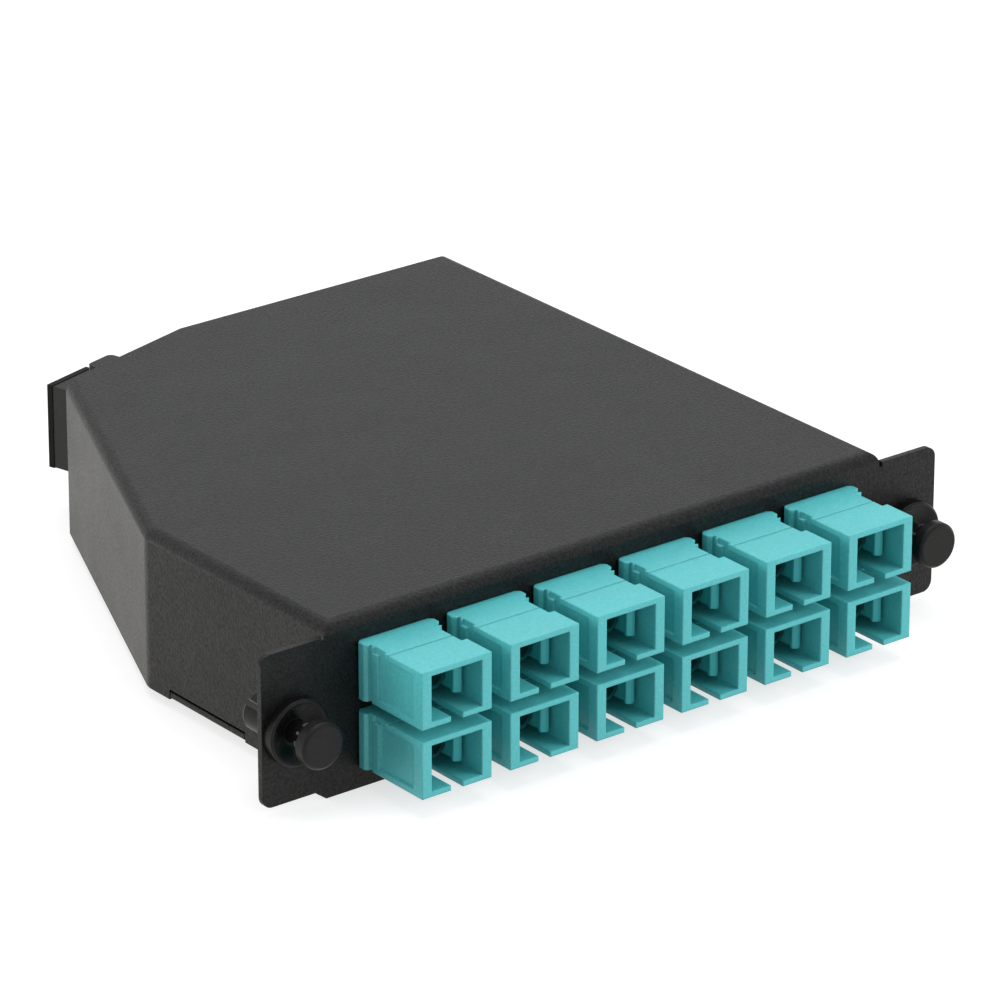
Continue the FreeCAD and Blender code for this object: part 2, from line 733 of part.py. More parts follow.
def make_adapters():
    """A housing, an insert and a clip at each place, and the sleeves as one group."""
    forms = {
        "adapter_housing": make_adapter_housing_form(),
        "adapter_insert": make_adapter_insert_form(),
        "adapter_clip": make_adapter_clip_form(),
    }
    places = [(row, column) for row in ROWS for column in range(COLUMNS)]
    points = [(column_x(column), "0", row_z(ROWS[row])) for row, column in places]
    made = [
        copy_of(form, f"{name}_{row}_{column + 1}", point)
        for name, form in forms.items()
        for (row, column), point in zip(places, points)
    ]
    return made + [group_of(make_sleeve_form(), "alignment_sleeves", points)]


# Push-pull latches, drawn about their own axes

def make_latch_grommet_form():
    """Ring with a funnel before the ear, and a stud through it, split into four legs."""
    body = new_body("latch_grommet_form")
    floor = add(ring_face, dim("dish_depth"))
    end = dim("stud_length")
    turn(body, [
        (bore_radius, end),
        (less(dim("stud_radius"), half(dim("stud_bevel"))), end),
        (dim("stud_radius"), less(end, dim("stud_bevel"))),
        (dim("stud_radius"), panel_front),
        (dim("ring_radius"), panel_front),
        (dim("ring_radius"), add(ring_face, dim("ring_bevel"))),
        (less(dim("ring_radius"), dim("ring_bevel")), ring_face),
        (dim("dish_radius"), ring_face),
        (add(bore_radius, dim("dish_land")), floor),
        (bore_radius, floor),
    ])
    across = times(3, dim("stud_radius"))
    for width, height in ((dim("stud_slot"), across), (across, dim("stud_slot"))):
        cut(body, "XZ", [centred(width, height)], dim("stud_neck"), add(end, past))
    return body


def make_latch_plunger_form():
    """Knob, tapered neck and shaft, turned in one piece."""
    body = new_body("latch_plunger_form")
    back = less(ring_face, dim("knob_gap"))
    front = less(back, dim("knob_thick"))
    neck_end = add(back, dim("neck_length"))
    tail = less(dim("stud_length"), dim("shaft_short"))
    turn(body, [
        ("0", front),
        (less(dim("knob_radius"), dim("knob_bevel")), front),
        (dim("knob_radius"), add(front, dim("knob_bevel"))),
        (dim("knob_radius"), less(back, dim("knob_bevel"))),
        (less(dim("knob_radius"), dim("knob_bevel")), back),
        (dim("neck_radius"), back),
        (dim("neck_end_radius"), neck_end),
        (dim("shaft_radius"), neck_end),
        (dim("shaft_radius"), tail),
        ("0", tail),
    ])
    return body


def make_latches():
    forms = {"latch_grommet": make_latch_grommet_form(), "latch_plunger": make_latch_plunger_form()}
    return [
        copy_of(form, f"{name}_{side}", (times(sign, latch_x), "0", "0"))
        for name, form in forms.items()
        for side, sign in SIDES.items()
    ]


# Multi-fibre adapter, drawn with +X along the slanted rear wall and +Y out of it

def set_on_rear_wall(body):
    """Turns a piece to the slanted rear wall and moves it there."""
    angle = value(dim("rear_angle"))
    body.Placement = FreeCAD.Placement(FreeCAD.Vector(), FreeCAD.Rotation(FreeCAD.Vector(0, 0, 1), angle))
    body.setExpression("Placement.Rotation.Angle", dim("rear_angle"))
    x, y = on_rear_wall(dim("rear_place"), "0")
    place(body, (x, y, dim("rear_level")))


def make_rear_adapter():
    body = new_body("rear_adapter_housing")
    wide = dim("rear_wide")
    tall = dim("rear_tall")
    end = dim("rear_reach")
    start = minus(add(gauge, dim("rear_inside")))
    depth = dim("rear_port_depth")
    collar = less(end, dim("rear_collar"))
    rise = times(2, dim("rear_collar_rise"))
    pad(body, "XZ", [centred(wide, tall)], start, collar)
    pad(body, "XZ", [centred(add(wide, rise), add(tall, rise))], collar, end)
    flange_wide = add(wide, times(2, dim("rear_flange_wide")))
    flange_tall = add(tall, times(2, dim("rear_flange_tall")))
    pad(body, "XZ", [centred(flange_wide, flange_tall)], "0", dim("rear_flange_thick"))
    walls = times(2, dim("rear_wall"))
    port = centred(less(wide, walls), less(tall, walls))
    groove = centred(
        times(2, dim("rear_key_depth")), dim("rear_key_width"), less(half(wide), dim("rear_wall"))
    )
    cut(body, "XZ", [port], less(end, depth), end)
    cut(body, "XZ", [port], start, less(end, depth, dim("rear_web")))
    cut(body, "XZ", [groove], less(end, depth), end)
    window = centred(dim("rear_window_wide"), dim("rear_window_tall"))
    cut(body, "XZ", [window], start, end)
    set_on_rear_wall(body)
    return body


def make_rear_clip():
    """Spring frame round the adapter, against the wall's inner face."""
    body = new_body("rear_adapter_clip")
    slack = times(2, dim("clip_gap"))
    inner_wide = add(dim("rear_wide"), slack)
    inner_tall = add(dim("rear_tall"), slack)
    rim = times(2, dim("rear_clip_rim"))
    end = minus(gauge)
    start = less(end, dim("rear_clip_thick"))
    pad(body, "XZ", [centred(add(inner_wide, rim), add(inner_tall, rim))], start, end)
    cut(body, "XZ", [centred(inner_wide, inner_tall)], start, end)
    set_on_rear_wall(body)
    return body


# Fastening

def make_fastening():
    """Standoffs under the cover, and the screws that hold the pan to them."""
    post = new_body("cover_standoff_form")
    pad(post, "XY", [many_sided(dim("post_radius"), 6)], pan_top, top_inside)
    cut(post, "XY", [many_sided(dim("post_bore"))], pan_top, add(pan_top, dim("post_bore_depth")))
    screw = new_body("base_screw_form")
    level = dim("pan_level")
    head = many_sided(dim("screw_head_radius"), HEAD_SIDES)
    pad(screw, "XY", [head], less(level, dim("screw_head_height")), level)
    pad(screw, "XY", [many_sided(dim("screw_radius"))], level, add(level, dim("screw_length")))
    points = [(x, y, "0") for x, y in post_places()]
    return [group_of(post, "cover_standoffs", points), group_of(screw, "base_screws", points)]


# Fibre guides

def make_guides():
    """Curved walls in a ring on the pan, each with a retaining finger at its top."""
    form = new_body("fibre_guide_form")
    outer = dim("guide_radius")
    inner = less(outer, dim("guide_wall"))
    top = add(pan_top, dim("guide_height"))
    foot_top = add(pan_top, dim("guide_foot_thick"))
    foot = sector(less(inner, dim("guide_foot")), outer, dim("guide_sweep"))
    pad(form, "XY", [foot], pan_top, foot_top)
    pad(form, "XY", [sector(inner, outer, dim("guide_sweep"))], pan_top, top)
    finger = sector(inner, add(outer, dim("guide_foot")), dim("finger_sweep"))
    pad(form, "XY", [finger], less(top, dim("guide_foot_thick")), top)
    centre = (dim("guide_x"), dim("guide_y"), "0")
    guides = group_of(form, "fibre_guides", [centre] * GUIDES)
    for index, guide in enumerate(guides.Links):
        turned = FreeCAD.Rotation(FreeCAD.Vector(0, 0, 1), 360 * (index + 0.5) / GUIDES)
        guide.Placement = FreeCAD.Placement(guide.Placement.Base, turned)
        place(guide, centre)
    return guides


def export(pieces):
    """Writes each piece to a file of its own, once all of them are sound."""
    for item in doc.Objects:
        if "Invalid" in item.State or "Error" in item.State:
            raise RuntimeError(f"{item.Label} failed: {item.State}")
    for piece in pieces:
        if piece.Shape.isNull() or not piece.Shape.isValid():
            raise RuntimeError(f"{piece.Label} has no valid shape")
    os.makedirs("parts", exist_ok=True)
    for piece in pieces:
        piece.Shape.exportStep(f"parts/{piece.Label}.step")


pieces = [make_top_cover(), make_base_pan()]
pieces += make_adapters()
pieces += make_latches()
pieces += [make_rear_adapter(), make_rear_clip()]
pieces += make_fastening()
pieces.append(make_guides())
doc.recompute()
export(pieces)
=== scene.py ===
# Fibre cassette: folded black case, aqua adapters, push-pull latches and a rear adapter.
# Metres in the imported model's own frame. The pieces' settings are in millimetres and degrees,
# those of the finishes and the stage in metres.
import math

import bmesh
import bpy
from mathutils import Matrix, Vector


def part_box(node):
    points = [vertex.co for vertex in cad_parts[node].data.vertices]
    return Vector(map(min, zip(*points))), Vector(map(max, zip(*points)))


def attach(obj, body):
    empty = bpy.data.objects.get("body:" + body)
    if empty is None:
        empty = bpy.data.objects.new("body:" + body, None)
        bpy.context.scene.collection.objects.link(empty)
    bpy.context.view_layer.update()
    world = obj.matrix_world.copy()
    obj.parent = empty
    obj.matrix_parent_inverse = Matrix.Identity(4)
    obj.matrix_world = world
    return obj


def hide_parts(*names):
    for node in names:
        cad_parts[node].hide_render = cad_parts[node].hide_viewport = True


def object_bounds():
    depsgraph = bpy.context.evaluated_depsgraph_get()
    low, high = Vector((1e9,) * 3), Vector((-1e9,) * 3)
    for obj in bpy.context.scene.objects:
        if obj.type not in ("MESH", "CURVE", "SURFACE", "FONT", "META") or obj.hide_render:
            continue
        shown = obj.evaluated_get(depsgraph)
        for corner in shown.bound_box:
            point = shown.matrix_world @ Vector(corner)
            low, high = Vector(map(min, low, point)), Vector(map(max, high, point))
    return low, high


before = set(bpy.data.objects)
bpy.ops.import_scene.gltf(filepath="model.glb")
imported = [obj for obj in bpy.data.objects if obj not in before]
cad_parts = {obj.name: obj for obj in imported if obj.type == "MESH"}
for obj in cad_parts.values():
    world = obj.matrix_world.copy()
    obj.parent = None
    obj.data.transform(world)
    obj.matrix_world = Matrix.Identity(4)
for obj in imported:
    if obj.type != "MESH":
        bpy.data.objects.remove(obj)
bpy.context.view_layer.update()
mm = 0.001
columns = 6
rows = ("upper", "lower")
sides = ("left", "right")
placeNames = [f"{row}_{column + 1}" for row in rows for column in range(columns)]


# Shader groups: colours, masks and values that more than one material uses

def newGroup(name, inputs, outputs):
    group = bpy.data.node_groups.new(name, "ShaderNodeTree")
    for socketName, socketType, default in inputs:
        socket = group.interface.new_socket(socketName, in_out="INPUT", socket_type=socketType)
        socket.default_value = default
    for socketName, socketType in outputs:
        group.interface.new_socket(socketName, in_out="OUTPUT", socket_type=socketType)
    start = group.nodes.new("NodeGroupInput")
    end = group.nodes.new("NodeGroupOutput")
    return group, start, end


def addNoise(nodes, links, vector, scale, detail, roughness=0.5):
    noise = nodes.new("ShaderNodeTexNoise")
    links.new(vector, noise.inputs["Vector"])
    if isinstance(scale, (int, float)):
        noise.inputs["Scale"].default_value = scale
    else:
        links.new(scale, noise.inputs["Scale"])
    noise.inputs["Detail"].default_value = detail
    noise.inputs["Roughness"].default_value = roughness
    return noise


def addMath(nodes, links, operation, first, second=None, third=None):
    node = nodes.new("ShaderNodeMath")
    node.operation = operation
    for index, item in enumerate((first, second, third)):
        if item is None:
            continue
        if isinstance(item, (int, float)):
            node.inputs[index].default_value = item
        else:
            links.new(item, node.inputs[index])
    return node.outputs["Value"]


def addRange(nodes, links, source, low, high, toLow, toHigh):
    node = nodes.new("ShaderNodeMapRange")
    links.new(source, node.inputs["Value"])
    for socketName, number in (("From Min", low), ("From Max", high), ("To Min", toLow), ("To Max", toHigh)):
        if isinstance(number, (int, float)):
            node.inputs[socketName].default_value = number
        else:
            links.new(number, node.inputs[socketName])
    return node.outputs["Result"]


grainShape = {"fineFactor": 3.1, "coarseDetail": 2.0, "fineDetail": 1.0, "fineSpecks": 0.6,
              "speckRange": (0.55, 1.05), "mottleDetail": 3.0, "mottleRoughness": 0.6, "mottleRange": (0.3, 0.7)}


def makeGrainGroup():  # two sizes of noise as one height, their specks of colour, and a slow mottling
    group, start, end = newGroup(
        "surfaceGrain",
        [("Vector", "NodeSocketVector", (0, 0, 0)), ("Grain Size", "NodeSocketFloat", 0.0004),
         ("Fine Share", "NodeSocketFloat", 0.35), ("Mottle Size", "NodeSocketFloat", 0.02)],
        [("Height", "NodeSocketFloat"), ("Mottle", "NodeSocketFloat"), ("Speckle", "NodeSocketFloat")])
    nodes, links = group.nodes, group.links
    scale = addMath(nodes, links, "DIVIDE", 1.0, start.outputs["Grain Size"])
    fineScale = addMath(nodes, links, "MULTIPLY", scale, grainShape["fineFactor"])
    coarse = addNoise(nodes, links, start.outputs["Vector"], scale, grainShape["coarseDetail"])
    fine = addNoise(nodes, links, start.outputs["Vector"], fineScale, grainShape["fineDetail"])
    finePart = addMath(nodes, links, "MULTIPLY", fine.outputs["Fac"], start.outputs["Fine Share"])
    links.new(addMath(nodes, links, "ADD", coarse.outputs["Fac"], finePart), end.inputs["Height"])
    both = addMath(nodes, links, "MULTIPLY_ADD", fine.outputs["Fac"], grainShape["fineSpecks"], coarse.outputs["Fac"])
    links.new(addRange(nodes, links, both, *grainShape["speckRange"], 0.0, 1.0), end.inputs["Speckle"])
    slowScale = addMath(nodes, links, "DIVIDE", 1.0, start.outputs["Mottle Size"])
    slow = addNoise(nodes, links, start.outputs["Vector"], slowScale,
                    grainShape["mottleDetail"], grainShape["mottleRoughness"])
    links.new(slow.outputs["Fac"], end.inputs["Mottle"])
    return group


# the shape of the mask for the painted edge highlights
edgeShape = {"highlightSamples": 4, "roundSamples": 6, "turnRange": (0.995, 0.86), "breakDetail": 3.0,
             "breakRoughness": 0.65, "breakRange": (0.35, 0.7), "leastHighlight": 0.25}


def makeEdgeGroup():  # mask for the painted edge highlight: 1 along sharp edges, broken up by noise, 0 on the flats
    group, start, end = newGroup(
        "edgeWear",
        [("Vector", "NodeSocketVector", (0, 0, 0)), ("Width", "NodeSocketFloat", 0.0003),
         ("Break Size", "NodeSocketFloat", 0.002)],
        [("Mask", "NodeSocketFloat")])
    nodes, links = group.nodes, group.links
    bevel = nodes.new("ShaderNodeBevel")
    bevel.samples = edgeShape["highlightSamples"]
    links.new(start.outputs["Width"], bevel.inputs["Radius"])
    geometry = nodes.new("ShaderNodeNewGeometry")
    dot = nodes.new("ShaderNodeVectorMath")
    dot.operation = "DOT_PRODUCT"
    links.new(bevel.outputs["Normal"], dot.inputs[0])
    links.new(geometry.outputs["Normal"], dot.inputs[1])
    edge = addRange(nodes, links, dot.outputs["Value"], *edgeShape["turnRange"], 0.0, 1.0)
    scale = addMath(nodes, links, "DIVIDE", 1.0, start.outputs["Break Size"])
    noise = addNoise(nodes, links, start.outputs["Vector"], scale,
                     edgeShape["breakDetail"], edgeShape["breakRoughness"])
    broken = addRange(nodes, links, noise.outputs["Fac"], *edgeShape["breakRange"], edgeShape["leastHighlight"], 1.0)
    links.new(addMath(nodes, links, "MULTIPLY", edge, broken), end.inputs["Mask"])
    return group


dustShape = {"upRange": (0.3, 1.0), "speckDetail": 1.0, "speckRange": (0.68, 0.8), "filmScale": 60.0,
             "filmDetail": 4.0, "filmRoughness": 0.6, "filmRange": (0.4, 0.75), "filmShare": 0.35,
             "colour": (0.55, 0.54, 0.52)}


def makeDustGroup():  # faint specks and a film that settle on upward faces
    group, start, end = newGroup(
        "settledDust",
        [("Vector", "NodeSocketVector", (0, 0, 0)), ("Amount", "NodeSocketFloat", 0.1),
         ("Speck Size", "NodeSocketFloat", 0.0005)],
        [("Mask", "NodeSocketFloat")])
    nodes, links = group.nodes, group.links
    geometry = nodes.new("ShaderNodeNewGeometry")
    split = nodes.new("ShaderNodeSeparateXYZ")
    links.new(geometry.outputs["Normal"], split.inputs["Vector"])
    upward = addRange(nodes, links, split.outputs["Z"], *dustShape["upRange"], 0.0, 1.0)
    scale = addMath(nodes, links, "DIVIDE", 1.0, start.outputs["Speck Size"])
    specks = addNoise(nodes, links, start.outputs["Vector"], scale, dustShape["speckDetail"])
    film = addNoise(nodes, links, start.outputs["Vector"], dustShape["filmScale"],
                    dustShape["filmDetail"], dustShape["filmRoughness"])
    speckMask = addRange(nodes, links, specks.outputs["Fac"], *dustShape["speckRange"], 0.0, 1.0)
    filmMask = addRange(nodes, links, film.outputs["Fac"], *dustShape["filmRange"], 0.0, dustShape["filmShare"])
    both = addMath(nodes, links, "MAXIMUM", speckMask, filmMask)
    settled = addMath(nodes, links, "MULTIPLY", both, upward)
    links.new(addMath(nodes, links, "MULTIPLY", settled, start.outputs["Amount"]), end.inputs["Mask"])
    return group


grainGroup = makeGrainGroup()
edgeGroup = makeEdgeGroup()
dustGroup = makeDustGroup()
print("shader groups ready")


# Materials

def newMaterial(name):
    material = bpy.data.materials.new(name)
    material.use_nodes = True
    nodes, links = material.node_tree.nodes, material.node_tree.links
    nodes.clear()
    output = nodes.new("ShaderNodeOutputMaterial")
    shader = nodes.new("ShaderNodeBsdfPrincipled")
    links.new(shader.outputs["BSDF"], output.inputs["Surface"])
    coordinates = nodes.new("ShaderNodeTexCoord")
    return material, nodes, links, shader, coordinates.outputs["Object"]


def useGroup(nodes, links, group, vector, **values):
    node = nodes.new("ShaderNodeGroup")
    node.node_tree = group
    links.new(vector, node.inputs["Vector"])
    for key, number in values.items():
        node.inputs[key.replace("_", " ")].default_value = number
    return node


def mixColour(nodes, links, factor, first, second):  # a Mix node takes colours in sockets 6 and 7, and gives one in 2
    node = nodes.new("ShaderNodeMix")
    node.data_type = "RGBA"
    links.new(factor, node.inputs[0])
    for index, item in ((6, first), (7, second)):
        if isinstance(item, tuple):
            node.inputs[index].default_value = (*item, 1.0)
        else:
            links.new(item, node.inputs[index])
    return node.outputs[2]


def addBump(nodes, links, height, strength, distance, roundWidth):  # fine relief, and softly shaded edges
    bump = nodes.new("ShaderNodeBump")
    if roundWidth:
        rounded = nodes.new("ShaderNodeBevel")
        rounded.samples = edgeShape["roundSamples"]
        rounded.inputs["Radius"].default_value = roundWidth
        links.new(rounded.outputs["Normal"], bump.inputs["Normal"])
    bump.inputs["Strength"].default_value = strength
    bump.inputs["Distance"].default_value = distance
    links.new(height, bump.inputs["Height"])
    return bump.outputs["Normal"]


finishDefaults = {"speckle": 0, "coatSpecks": 0, "round": 0, "edgeHighlight": 0, "dust": 0, "subsurface": 0,
                  "metallic": 0.0, "ior": 1.5, "specular": 0.5, "fineShare": 0.35}


def makeFinish(name, values):  # one builder for paint, plastic and metal
    look = {**finishDefaults, **values}
    material, nodes, links, shader, vector = newMaterial(name)
    grain = useGroup(nodes, links, grainGroup, vector, Grain_Size=look["grainSize"],
                     Fine_Share=look["fineShare"], Mottle_Size=look["mottleSize"])
    mottle = addRange(nodes, links, grain.outputs["Mottle"], *grainShape["mottleRange"], 0.0, 1.0)
    colour = mixColour(nodes, links, mottle, look["colour"], look["colourToo"])
    if look["speckle"]:
        specks = addMath(nodes, links, "MULTIPLY", grain.outputs["Speckle"], look["speckle"])
        colour = mixColour(nodes, links, specks, colour, look["speckColour"])
    # painted highlight: the sharp edges take a lighter colour, broken up by noise
    if look["edgeHighlight"]:
        edge = useGroup(nodes, links, edgeGroup, vector, Width=look["edgeHighlightWidth"])
        highlighted = addMath(nodes, links, "MULTIPLY", edge.outputs["Mask"], look["edgeHighlight"])
        colour = mixColour(nodes, links, highlighted, colour, look["edgeHighlightColour"])
    if look["dust"]:
        dust = useGroup(nodes, links, dustGroup, vector, Amount=look["dust"])
        colour = mixColour(nodes, links, dust.outputs["Mask"], colour, dustShape["colour"])
    links.new(colour, shader.inputs["Base Color"])
    rough = addRange(nodes, links, grain.outputs["Mottle"], *grainShape["mottleRange"], *look["roughness"])
    links.new(rough, shader.inputs["Roughness"])
    shader.inputs["Metallic"].default_value = look["metallic"]
    shader.inputs["IOR"].default_value = look["ior"]
    shader.inputs["Specular IOR Level"].default_value = look["specular"]
    if look["coatSpecks"]:  # grains that shine more than their surroundings
        shiny = addMath(nodes, links, "MULTIPLY", grain.outputs["Speckle"], look["coatSpecks"])
        links.new(shiny, shader.inputs["Coat Weight"])
        shader.inputs["Coat Roughness"].default_value = look["coatRoughness"]
    if look["subsurface"]:
        shader.inputs["Subsurface Weight"].default_value = look["subsurface"]
        shader.inputs["Subsurface Radius"].default_value = look["subsurfaceRadius"]
        shader.inputs["Subsurface Scale"].default_value = 1.0
    normal = addBump(nodes, links, grain.outputs["Height"], look["bump"], look["bumpDepth"], look["round"])
    links.new(normal, shader.inputs["Normal"])
    return material


# the lighter edge colours in these finishes are painted highlights along the sharp edges
powderCoat = makeFinish("blackPowderCoat", {
    "colour": (0.001, 0.001, 0.0012), "colourToo": (0.003, 0.003, 0.0033),
    "speckle": 1.0, "speckColour": (0.009, 0.009, 0.0092), "coatSpecks": 0.26, "coatRoughness": 0.36,
    "round": 0.0002, "grainSize": 0.00044, "fineShare": 0.6, "mottleSize": 0.016,
    "roughness": (0.38, 0.44), "specular": 0.165, "bump": 1.0, "bumpDepth": 0.0001,
    "edgeHighlight": 0.07, "edgeHighlightWidth": 0.00022, "edgeHighlightColour": (0.04, 0.04, 0.04), "dust": 0.02})
aquaPlastic = makeFinish("aquaPlastic", {
    "colour": (0.066, 0.435, 0.455), "colourToo": (0.074, 0.47, 0.49),
    "speckle": 0.7, "speckColour": (0.125, 0.55, 0.57), "round": 0.0004,
    "grainSize": 0.0005, "mottleSize": 0.009, "roughness": (0.38, 0.48),
    "bump": 0.35, "bumpDepth": 0.00006, "edgeHighlight": 0.3, "edgeHighlightWidth": 0.00022,
    "edgeHighlightColour": (0.19, 0.6, 0.63), "subsurface": 0.1, "subsurfaceRadius": (0.0004, 0.0012, 0.0012)})
insertPlastic = makeFinish("insertPlastic", {
    "colour": (0.07, 0.5, 0.52), "colourToo": (0.08, 0.54, 0.56), "specular": 0.4,
    "grainSize": 0.0004, "mottleSize": 0.009, "roughness": (0.42, 0.52), "bump": 0.2, "bumpDepth": 0.00004})
# painted shade: a dark copy of the insert's plastic for its deep faces
paintedShadeInsert = makeFinish("insertDeepPlastic", {
    "colour": (0.005, 0.07, 0.075), "colourToo": (0.007, 0.09, 0.095), "specular": 0.2,
    "grainSize": 0.0004, "mottleSize": 0.009, "roughness": (0.5, 0.6), "bump": 0.2, "bumpDepth": 0.00004})
nylonBlack = makeFinish("blackNylon", {
    "colour": (0.003, 0.003, 0.003), "colourToo": (0.006, 0.006, 0.0058), "specular": 0.2,
    "speckle": 0.5, "speckColour": (0.014, 0.014, 0.0135), "round": 0.0003,
    "grainSize": 0.0004, "mottleSize": 0.006, "roughness": (0.36, 0.44),
    "bump": 0.3, "bumpDepth": 0.00005, "edgeHighlight": 0.5, "edgeHighlightWidth": 0.00022, "edgeHighlightColour": (0.09, 0.09, 0.088)})
grommetBlack = makeFinish("blackGrommet", {
    "colour": (0.002, 0.002, 0.002), "colourToo": (0.004, 0.004, 0.0038), "specular": 0.16,
    "speckle": 0.5, "speckColour": (0.01, 0.01, 0.0098), "round": 0.00025,
    "grainSize": 0.0004, "mottleSize": 0.006, "roughness": (0.3, 0.38),
    "bump": 0.3, "bumpDepth": 0.00005, "edgeHighlight": 0.8, "edgeHighlightWidth": 0.00025, "edgeHighlightColour": (0.13, 0.13, 0.128)})
# painted highlight: the neck ribs take a light grey in place of the plunger's black nylon
ribHighlightNylon = makeFinish("rubbedNylon", {
    "colour": (0.09, 0.09, 0.088), "colourToo": (0.15, 0.15, 0.145), "specular": 0.5,
    "grainSize": 0.0003, "mottleSize": 0.001, "roughness": (0.25, 0.35), "bump": 0.2, "bumpDepth": 0.00003})
mouldedBlack = makeFinish("blackMoulding", {
    "colour": (0.004, 0.004, 0.004), "colourToo": (0.008, 0.008, 0.0078), "specular": 0.3,
    "speckle": 0.6, "speckColour": (0.02, 0.02, 0.0195), "round": 0.00025,
    "grainSize": 0.00045, "mottleSize": 0.01, "roughness": (0.42, 0.52),
    "bump": 0.4, "bumpDepth": 0.00005, "edgeHighlight": 0.3, "edgeHighlightWidth": 0.00022, "edgeHighlightColour": (0.05, 0.05, 0.05)})
collarBlack = makeFinish("blackCollar", {
    "colour": (0.002, 0.002, 0.002), "colourToo": (0.004, 0.004, 0.004), "specular": 0.12,
    "grainSize": 0.00045, "mottleSize": 0.01, "roughness": (0.5, 0.6), "bump": 0.3, "bumpDepth": 0.00005})
springSteel = makeFinish("springSteel", {
    "colour": (0.52, 0.51, 0.48), "colourToo": (0.62, 0.61, 0.58), "metallic": 1.0,
    "grainSize": 0.0006, "mottleSize": 0.004, "roughness": (0.26, 0.38), "bump": 0.1, "bumpDepth": 0.00002})
zincSteel = makeFinish("zincPlatedSteel", {
    "colour": (0.5, 0.52, 0.54), "colourToo": (0.66, 0.67, 0.66), "metallic": 1.0,
    "grainSize": 0.0005, "mottleSize": 0.002, "roughness": (0.28, 0.42), "bump": 0.12, "bumpDepth": 0.00002})
ceramic = makeFinish("whiteCeramic", {
    "colour": (0.84, 0.83, 0.79), "colourToo": (0.88, 0.87, 0.84),
    "grainSize": 0.0004, "mottleSize": 0.003, "roughness": (0.12, 0.2), "bump": 0.04, "bumpDepth": 0.00001})
print("materials ready")


# Mesh helpers

meshLook = {"mergeGap": 0.002, "flatAngle": 0.6, "bevelAngle": 38, "smoothAngle": 32, "normalWeight": 100}


def newPiece(name, mesh, material):
    piece = bpy.data.objects.new(name, mesh)
    bpy.context.scene.collection.objects.link(piece)
    mesh.materials.clear()
    mesh.materials.append(material)
    return piece


def applyModifiers(piece):  # the evaluated mesh takes the modifiers' place
    depsgraph = bpy.context.evaluated_depsgraph_get()
    mesh = bpy.data.meshes.new_from_object(piece.evaluated_get(depsgraph))
    piece.modifiers.clear()
    old = piece.data
    piece.data = mesh
    bpy.data.meshes.remove(old)
    mesh.name = piece.name
    return piece


def shadeByAngle(piece):  # flats keep their own normal, and only the eased edges turn
    mesh = piece.data
    mesh.shade_smooth()
    mesh.set_sharp_from_angle(angle=math.radians(meshLook["smoothAngle"]))
    weighted = piece.modifiers.new("normals", "WEIGHTED_NORMAL")
    weighted.mode = "FACE_AREA"
    weighted.weight = meshLook["normalWeight"]
    weighted.keep_sharp = True
    applyModifiers(piece)


def bevelEdges(piece, width, segments):
    bevel = piece.modifiers.new("edges", "BEVEL")
    bevel.width = width * mm
    bevel.segments = segments
    bevel.limit_method = "ANGLE"
    bevel.angle_limit = math.radians(meshLook["bevelAngle"])
    bevel.miter_outer = "MITER_ARC"
    bevel.use_clamp_overlap = True


def mergedCopy(nodeName):  # the node's triangles joined, with flat ones run together
    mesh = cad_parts[nodeName].data.copy()
    work = bmesh.new()
    work.from_mesh(mesh)
    bmesh.ops.remove_doubles(work, verts=work.verts, dist=meshLook["mergeGap"] * mm)
    flat = math.radians(meshLook["flatAngle"])
    bmesh.ops.dissolve_limit(work, angle_limit=flat, verts=work.verts, edges=work.edges)
    work.to_mesh(mesh)
    work.free()
    if "custom_normal" in mesh.attributes:
        mesh.attributes.remove(mesh.attributes["custom_normal"])
    return mesh


def roundFolds(mesh, look):  # the upright folds at the given places get their bend
    work = bmesh.new()
    work.from_mesh(mesh)
    folds = []
    for edge in work.edges:
        first, second = edge.verts[0].co, edge.verts[1].co
        upright = (first - second).xy.length < look["lean"] * mm and edge.calc_length() > look["shortest"] * mm
        if upright and any((first.xy - Vector(place) * mm).length < look["reach"] * mm for place in look["places"]):
            folds.append(edge)
    print("folds rounded:", len(folds))
    bmesh.ops.bevel(work, geom=folds, offset=look["radius"] * mm, segments=look["segments"],
                    profile=look["profile"], affect="EDGES", clamp_overlap=True)
    work.to_mesh(mesh)
    work.free()


def softened(nodeName, body, material, width, segments, folds=None):  # a node with its edges eased
    piece = newPiece(f"{nodeName}_shown", mergedCopy(nodeName), material)
    if folds:
        roundFolds(piece.data, folds)
    bevelEdges(piece, width, segments)
    applyModifiers(piece)
    shadeByAngle(piece)
    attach(piece, body)
    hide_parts(nodeName)
    return piece


def finishFaces(piece, material, chosen):  # a second finish on the faces whose middle is chosen
    piece.data.materials.append(material)
    for face in piece.data.polygons:
        if chosen(face.center):
            face.material_index = 1


def findIslands(nodeName):  # lowest and highest corner of each separate solid of a node
    work = bmesh.new()
    work.from_mesh(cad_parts[nodeName].data)
    bmesh.ops.remove_doubles(work, verts=work.verts, dist=meshLook["mergeGap"] * mm)
    seen, islands = set(), []
    for first in work.verts:
        if first in seen:
            continue
        seen.add(first)
        island, front = [first], [first]
        while front:
            for edge in front.pop().link_edges:
                for vert in edge.verts:
                    if vert not in seen:
                        seen.add(vert)
                        island.append(vert)
                        front.append(vert)
        spans = [[vert.co[axis] for vert in island] for axis in range(3)]
        islands.append((Vector([min(span) for span in spans]), Vector([max(span) for span in spans])))
    work.free()
    return islands


def meshFrom(name, work):
    bmesh.ops.recalc_face_normals(work, faces=work.faces)
    mesh = bpy.data.meshes.new(name)
    work.to_mesh(mesh)
    work.free()
    return mesh


# Geometry Nodes: what repeats

